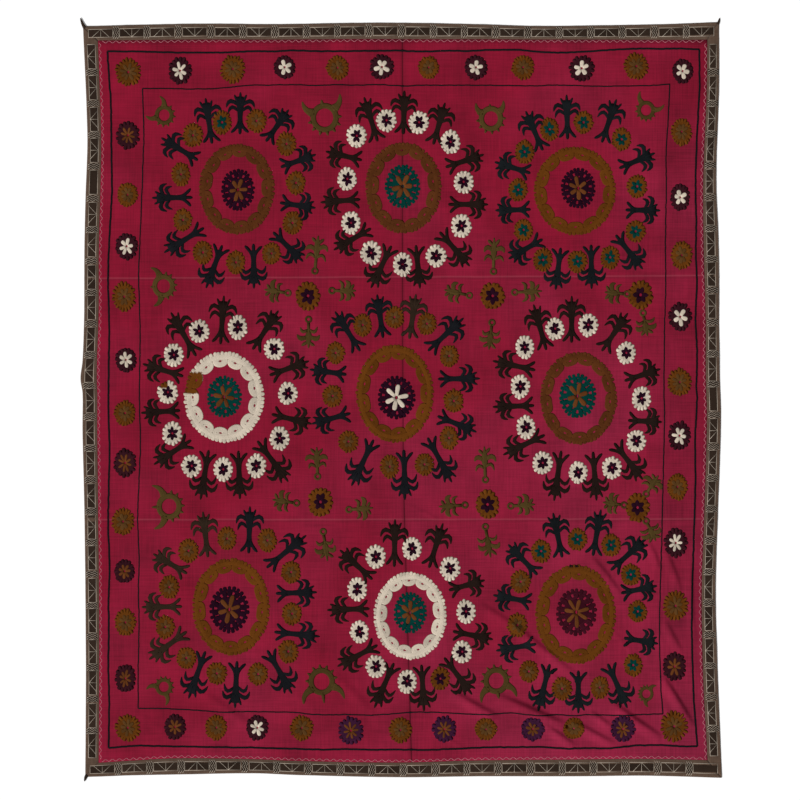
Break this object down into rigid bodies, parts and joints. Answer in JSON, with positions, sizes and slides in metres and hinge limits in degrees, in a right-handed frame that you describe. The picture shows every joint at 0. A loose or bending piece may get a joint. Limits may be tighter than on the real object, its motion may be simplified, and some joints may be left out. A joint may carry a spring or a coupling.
{
  "type": "embroidered bedspread",
  "caption": "Large flat bedspread of crimson cloth in two joined lengths, with chain-stitch ring medallions, a flower border and a patterned tape binding.",
  "frame": {"origin": "middle of the underside, in the middle of the whole outline", "axes": "+X to the right of the face, +Y to the top of the face, +Z out of the face"},
  "size_m": [2.136, 2.5408, 0.0086],
  "materials": {
    "ground_cloth": "matt crimson cotton",
    "binding_tape": "woven brown tape with grey lines",
    "olive_thread": "matt olive stitching",
    "white_thread": "soft off-white stitching",
    "dark_thread": "matt dark stitching",
    "plum_thread": "plum and violet stitching",
    "teal_thread": "teal stitching",
    "gold_thread": "old gold stitching",
    "pink_thread": "pale pink stitching"
  },
  "bodies": {
    "root": {"panel_left": "ground_cloth", "panel_right": "ground_cloth", "binding_left": "binding_tape", "binding_right": "binding_tape", "binding_top": "binding_tape", "binding_bottom": "binding_tape", "tail_top_left": "binding_tape", "tail_top_right": "binding_tape", "tail_bottom_left": "binding_tape"}
  },
  "joints": []
}
